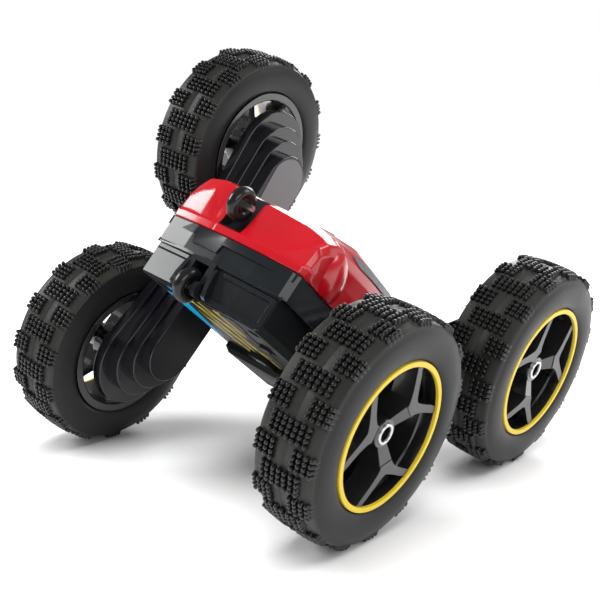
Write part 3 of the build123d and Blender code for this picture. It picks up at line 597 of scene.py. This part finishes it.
SHELL_ROWS = (  # y, lip x, mid (x, z), crest (x, z), shelf (x, z), roof z
    (-37.2, 61.0, (59.8, 3.0), (54.0, 5.4), (48.0, 6.4), 7.0),
    (-36.3, 64.0, (61.4, 8.6), (56.5, 11.4), (50.0, 13.0), 14.0),
    (-34.4, 66.3, (63.4, 11.2), (58.5, 15.2), (52.0, 17.6), 19.0),
    (-29.5, 67.5, (65.4, 7.2), (60.6, 16.4), (54.0, 19.8), 24.6),
    (-22.9, 68.4, (67.0, 2.9), (62.0, 17.4), (55.5, 21.2), 28.0),
    (-12.0, 69.2, (66.9, 5.0), (63.4, 18.0), (57.5, 21.2), ROOF_Z),
    (SLOT_RIGHT_Y - 1.2, 69.6, (67.6, 5.6), (65.0, 18.3), (60.0, 20.9), ROOF_Z),
    (SLOT_RIGHT_Y, 69.6, (67.5, 5.2), (65.0, 17.5), (60.6, 20.6), ROOF_Z),
    (SLOT_RIGHT_Y + 0.7, 69.6, (63.8, 3.2), (61.6, 6.6), (60.9, 20.4), ROOF_Z),
    (SLOT_LEFT_Y - 0.7, 69.4, (63.8, 3.2), (61.6, 6.6), (60.9, 20.4), ROOF_Z),
    (SLOT_LEFT_Y, 69.3, (67.5, 4.0), (65.4, 17.8), (61.0, 20.8), ROOF_Z),
    (SLOT_LEFT_Y + 1.4, 69.3, (67.8, 3.4), (65.8, 19.0), (61.0, 21.2), ROOF_Z),
    (14.6, 69.1, (67.3, 4.4), (66.2, 19.6), (61.0, 21.6), 29.4),
    (21.6, 68.6, (67.8, 15.6), (66.0, 20.4), (60.5, 22.4), 28.2),
    (29.5, 67.6, (66.2, 12.2), (65.2, 19.0), (56.0, 20.6), 24.6),
    (34.4, 66.4, (65.0, 9.0), (63.0, 15.2), (53.0, 17.4), 19.0),
    (36.2, 64.4, (63.4, 6.0), (61.6, 10.6), (56.0, 12.4), 13.6),
    (37.2, 61.5, (60.6, 3.0), (58.6, 5.4), (53.0, 6.4), 7.0),
)
SHELL_CREASE = 0.8


def red_shell():
    """Creased red upper shell with its roller slot, and four flank bulges as a piece of their own."""
    bm = bmesh.new()
    loft(bm, [shell_row(*row) for row in SHELL_ROWS])
    fix_normals(bm)
    for face in bm.faces:
        middle = face.calc_center_median()
        if SLOT_RIGHT_Y + 0.2 < middle.y < SLOT_LEFT_Y - 0.2 and middle.x < -60.0 and middle.z > 2.2:
            face.material_index = 1
    crease = bm.edges.layers.float.new("crease_edge")
    for edge in bm.edges:
        if edge.calc_face_angle(0.0) > math.radians(7.0):
            edge[crease] = SHELL_CREASE
    shell = piece_from(bm, "red_upper_shell", BODY, [LOOKS["red_shell"], LOOKS["black_matte"]], 60)
    rounding = shell.modifiers.new("moulded_edges", "SUBSURF")
    rounding.levels = 3
    rounding.render_levels = 3
    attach(shell, "body")
    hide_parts("upper_shell")

    bm = bmesh.new()
    for x, side in BULGE_PLACES:
        made = bmesh.ops.create_uvsphere(bm, u_segments=64, v_segments=40, radius=1.0)
        for vert in made["verts"]:
            vert.co = Vector((
                x + vert.co.x * BULGE_RADII[0],
                side * BULGE_MIDDLE_Y + vert.co.y * BULGE_RADII[1],
                BULGE_MIDDLE_Z + vert.co.z * BULGE_RADII[2],
            ))
    everything = list(bm.verts) + list(bm.edges) + list(bm.faces)
    bmesh.ops.bisect_plane(
        bm, geom=everything, plane_co=(0, 0, SEAM_Z), plane_no=(0, 0, -1), clear_outer=True,
    )
    bulges = piece_from(bm, "red_flank_bulges", BODY, [LOOKS["red_shell"]])
    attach(bulges, "body")


def tail_x(y):
    """How far the bowed tail reaches at a distance from the centre line."""
    points = ((0.0, 70.0), (1.0, 70.0), (18.0, 69.0), (33.0, 67.0), (36.0, 64.0))
    for (y0, x0), (y1, x1) in zip(points, points[1:]):
        if abs(y) <= y1:
            return x0 + (x1 - x0) * (abs(y) - y0) / (y1 - y0)
    return points[-1][1]


def tail_strip(bm, stations, proud, lean=0.0):
    """Raised moulding that follows the bow of the tail; stations are (y, low z, high z)."""
    rows = []
    for y, low, high in stations:
        front = -tail_x(y) - proud
        rows.append([
            (TAIL_INSIDE_X, y, low), (front, y, low + 0.15), (front + lean, y, high - 0.15),
            (TAIL_INSIDE_X, y, high),
        ])
    loft(bm, rows)


def tail_details():
    """Black tail: stepped seam plate, corner block, roller ears and a framed panel."""
    bm = bmesh.new()
    seam = ((35.0, -6.3), (18.0, -6.3), (16.2, -6.3), (15.4, -10.1), (1.0, -10.1), (0.2, -6.2), (-18.0, -6.2),
            (-35.0, -6.2))
    tail_strip(bm, [(y, low, SEAM_Z + 0.1) for y, low in seam], 0.8, 0.5)
    tail_strip(bm, [(y, -14.9, -13.2) for y in (34.6, 18.0, 1.0, -18.0, -34.6)], 0.35)
    tail_strip(bm, [(y, -17.2, -15.2) for y in (31.0, 12.6)], 0.1)
    tail_strip(bm, [(y, -29.2, -17.7) for y in (30.5, 12.6)], 0.7)
    tail_strip(bm, [(y, -17.4, -15.2) for y in (-7.6, -18.0, -33.0)], -0.3)
    tail_strip(bm, [(y, -29.3, -27.0) for y in (-7.6, -18.0, -32.6)], -0.2)
    tail_strip(bm, [(y, -29.0, -15.4) for y in (-31.6, -33.4)], -0.3)
    profile = (  # roller ear: x, z, share of its lean
        (TAIL_INSIDE_X, -15.4, 0.0), (-70.2, -15.8, 0.0), (-71.4, -18.0, 0.15), (-72.4, -24.0, 0.6),
        (-72.2, -28.2, 0.9), (-70.6, -29.2, 1.0), (TAIL_INSIDE_X, -29.2, 1.0),
    )
    for y, lean in ((10.6, 0.6), (-3.6, -3.2)):
        start = [(x, y + lean * share - 1.0, z) for x, z, share in profile]
        stop = [(x, y + lean * share + 1.0, z) for x, z, share in profile]
        loft(bm, [start, stop])
    fix_normals(bm)
    details = piece_from(bm, "tail_mouldings", BODY, [LOOKS["black_gloss"]])
    soften(details, 0.35)
    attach(details, "body")


def tail_rollers():
    """Fat rounded rollers with a dished hub, turning on the pins in the tail."""
    for name in ("upper_roller", "lower_roller"):
        tread = arc(4.7, 0.0, 2.8, -80, 80, 12)
        profile = [(1.35, -1.9), (3.0, -1.9), (3.9, -2.5)] + tread + [(3.9, 2.5), (3.0, 1.9), (1.35, 1.9)]
        bm = lathe(bmesh.new(), profile, segments=64)
        fix_normals(bm)
        frame_of_roller = BODY.copy()
        frame_of_roller.translation = joint_place(f"{name}_spin")
        piece = piece_from(bm, f"rounded_{name}", frame_of_roller, [LOOKS["roller_black"]])
        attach(piece, name)
        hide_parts(name)


def roof_height(x, side_share):
    """Height of the shell's flank slope behind the roof edge, from its foot (0) to its head (1)."""
    foot, head = SHELL_ROWS[2], SHELL_ROWS[3]
    heights = []
    for row in (foot, head):
        (shelf_x, shelf_z), roof_z = row[4], row[5]
        along = min(1.0, (x + shelf_x) / (shelf_x + ROOF_REAR_X))
        slope_z = shelf_z + (roof_z - ROOF_REAR_DROP - shelf_z) * along
        heights.append(slope_z if x < ROOF_REAR_X else roof_z)
    y = foot[0] + (head[0] - foot[0]) * side_share
    return -y, heights[0] + (heights[1] - heights[0]) * side_share


def window_films():
    """Rear window, windscreen and side window films that lie on the roof's slopes."""
    bm = bmesh.new()
    rear = []
    for y, _, _, _, (shelf_x, shelf_z), roof_z in SHELL_ROWS:
        if abs(y) > REAR_FILM_HALF_WIDTH:
            continue
        points = []
        for x, lift in ((-46.0, -0.3), (-46.0, 0.35), (-26.0, 0.35), (-26.0, -0.3)):
            share = (x + shelf_x) / (shelf_x + ROOF_REAR_X)
            points.append((x, y, shelf_z + (roof_z - ROOF_REAR_DROP - shelf_z) * share + lift))
        rear.append(points)
    loft(bm, rear)
    screen = []
    for x, z, half in ((13.6, 29.25, 14.2), (14.2, 29.05, 15.6), (27.0, 24.1, 17.0), (27.8, 23.75, 15.8)):
        screen.append([(x, -half, z - 0.5), (x, -half, z + 0.3), (x, half, z + 0.3), (x, half, z - 0.5)])
    loft(bm, screen)
    for side in (1, -1):
        rows = []
        for x, low_share, high_share in ((-34.5, 0.62, 0.8), (-30.0, 0.12, 0.84), (-18.0, 0.12, 0.84),
                                         (8.0, 0.12, 0.84)):
            low_y, low_z = roof_height(x, low_share)
            high_y, high_z = roof_height(x, high_share)
            rows.append([
                (x, side * (low_y - 0.3), low_z - 0.3), (x, side * (low_y + 0.35), low_z + 0.3),
                (x, side * (high_y + 0.35), high_z + 0.3), (x, side * (high_y - 0.3), high_z - 0.3),
            ])
        loft(bm, rows)
    fix_normals(bm)
    films = piece_from(bm, "window_films", BODY, [LOOKS["window_grey"]])
    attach(films, "body")
    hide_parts("window_stickers")


def label_plate():
    """Printed label on the belly with its own flat coordinates."""
    bm = bmesh.new()
    outline = [
        (-63, -19), (-63, 19), (-51, 19), (-51, 28), (0, 28), (0, 7), (-10, 7), (-10, -7), (0, -7), (0, -17),
        (-51, -17), (-51, -19),
    ]
    loft(bm, [[(x, y, z) for x, y in outline] for z in (LABEL_LOW_Z, LABEL_HIGH_Z)])
    fix_normals(bm)
    places = [vert.co.copy() for vert in bm.verts]
    piece = piece_from(bm, "belly_label", BODY, [label_material()])
    store = piece.data.attributes.new("label_place", "FLOAT_VECTOR", "POINT")
    for item, place in zip(store.data, places):
        item.vector = place
    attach(piece, "body")
    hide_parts("underside_label")


# ---- CAD nodes that stay ------------------------------------------------------------
def dress_cad_nodes():
    """Finish of its material slot for every CAD node, and rounded edges on the three big black ones."""
    slot_of = {}
    for entry in frame["record"]["subparts"]:
        slot_of[entry["node"]] = entry["material_slot"]
    for node, obj in frame["nodes"].items():
        look = LOOKS.get(slot_of.get(node, ""), LOOKS["black_matte"])
        obj.data.materials.clear()
        obj.data.materials.append(look)
        if node in ("lower_shell", "battery_cover"):
            obj.data.materials[0] = LOOKS["belly_black"]
    for node in ("bumper_band", "lower_shell", "battery_cover"):
        obj = frame["nodes"][node]
        weld = obj.modifiers.new("weld", "WELD")
        weld.merge_threshold = 0.00002
        soften(obj, 0.4, 2, 30)


# ---- Stage --------------------------------------------------------------------------
def area_light(name, place, aim, across, size, power):
    """Softbox at a place in metres, facing its aim, with its first side along a direction."""
    data = bpy.data.lights.new(name, "AREA")
    data.shape = "RECTANGLE"
    data.size, data.size_y = size
    data.energy = power
    away = (Vector(place) - Vector(aim)).normalized()
    first = Vector(across)
    first = (first - away * first.dot(away)).normalized()
    matrix = Matrix((first, away.cross(first), away)).transposed().to_4x4()
    matrix.translation = Vector(place)
    light = bpy.data.objects.new(name, data)
    light.matrix_world = matrix
    light.visible_camera = False
    bpy.context.scene.collection.objects.link(light)


def stage():
    """Pale floor, soft lights and the camera."""
    bm = bmesh.new()
    bmesh.ops.create_grid(bm, x_segments=4, y_segments=4, size=FLOOR_HALF_SIZE)
    floor = piece_from(bm, "floor", Matrix.Identity(4), [])
    paint = bpy.data.materials.new("floor_paint")
    paint.use_nodes = True
    shader = paint.node_tree.nodes["Principled BSDF"]
    shader.inputs["Base Color"].default_value = (0.9, 0.9, 0.9, 1)
    shader.inputs["Roughness"].default_value = 0.7
    floor.data.materials.append(paint)
    floor.location.z = -FLOOR_BELOW

    world = bpy.data.worlds.new("studio")
    world.use_nodes = True
    nodes, links = world.node_tree.nodes, world.node_tree.links
    ray = nodes.new("ShaderNodeLightPath")
    level = nodes.new("ShaderNodeMapRange")
    level.inputs["To Min"].default_value = WORLD_LIGHT
    level.inputs["To Max"].default_value = 1.0
    links.new(ray.outputs["Is Camera Ray"], level.inputs["Value"])
    links.new(level.outputs["Result"], nodes["Background"].inputs["Strength"])
    nodes["Background"].inputs["Color"].default_value = (1, 1, 1, 1)
    bpy.context.scene.world = world
    bpy.context.scene.view_settings.view_transform = "Standard"
    sun_data = bpy.data.lights.new("overhead", "SUN")
    sun_data.energy = 3.4
    sun_data.angle = math.radians(50.0)
    sun = bpy.data.objects.new("overhead", sun_data)
    sun.rotation_euler = (math.radians(8.0), math.radians(-14.0), 0)
    sun.visible_glossy = False
    bpy.context.scene.collection.objects.link(sun)
    area_light("key", (-0.391, 0.907, 0.710), CAR_MIDDLE, (0.27, 0.96, -0.07), (0.5, 0.45), 8.5)
    area_light("front", (-0.35, -1.0, 0.5), CAR_MIDDLE, (1, 0, 0), (0.8, 0.35), 3.5)
    area_light("back", (0.80, 0.28, 0.49), CAR_MIDDLE, (0, 1, 0), (0.6, 0.4), 6)
    area_light("right", (0.7, -0.7, 0.6), CAR_MIDDLE, (1, 1, 0), (0.4, 0.6), 4)

    right = Vector(CAMERA_RIGHT)
    up = Vector(CAMERA_UP)
    back = right.cross(up)
    camera_data = bpy.data.cameras.new("camera")
    camera_data.lens = CAMERA_LENS
    camera_data.sensor_width = CAMERA_SENSOR
    camera = bpy.data.objects.new("camera", camera_data)
    matrix = Matrix((right, up, back)).transposed().to_4x4()
    matrix.translation = pivot + Vector(CAMERA_FROM_PIVOT) * MM
    camera.matrix_world = matrix
    bpy.context.scene.collection.objects.link(camera)
    bpy.context.scene.camera = camera


# ---- Build --------------------------------------------------------------------------
stage()
dress_cad_nodes()
for number, wheel in enumerate(WHEELS):
    tyre(wheel, FIRST_TYRE_SEED + number)
    rim(wheel)
    trim_rings(wheel)
for side in ("left", "right"):
    arm(side)
red_shell()
tail_details()
tail_rollers()
window_films()
label_plate()
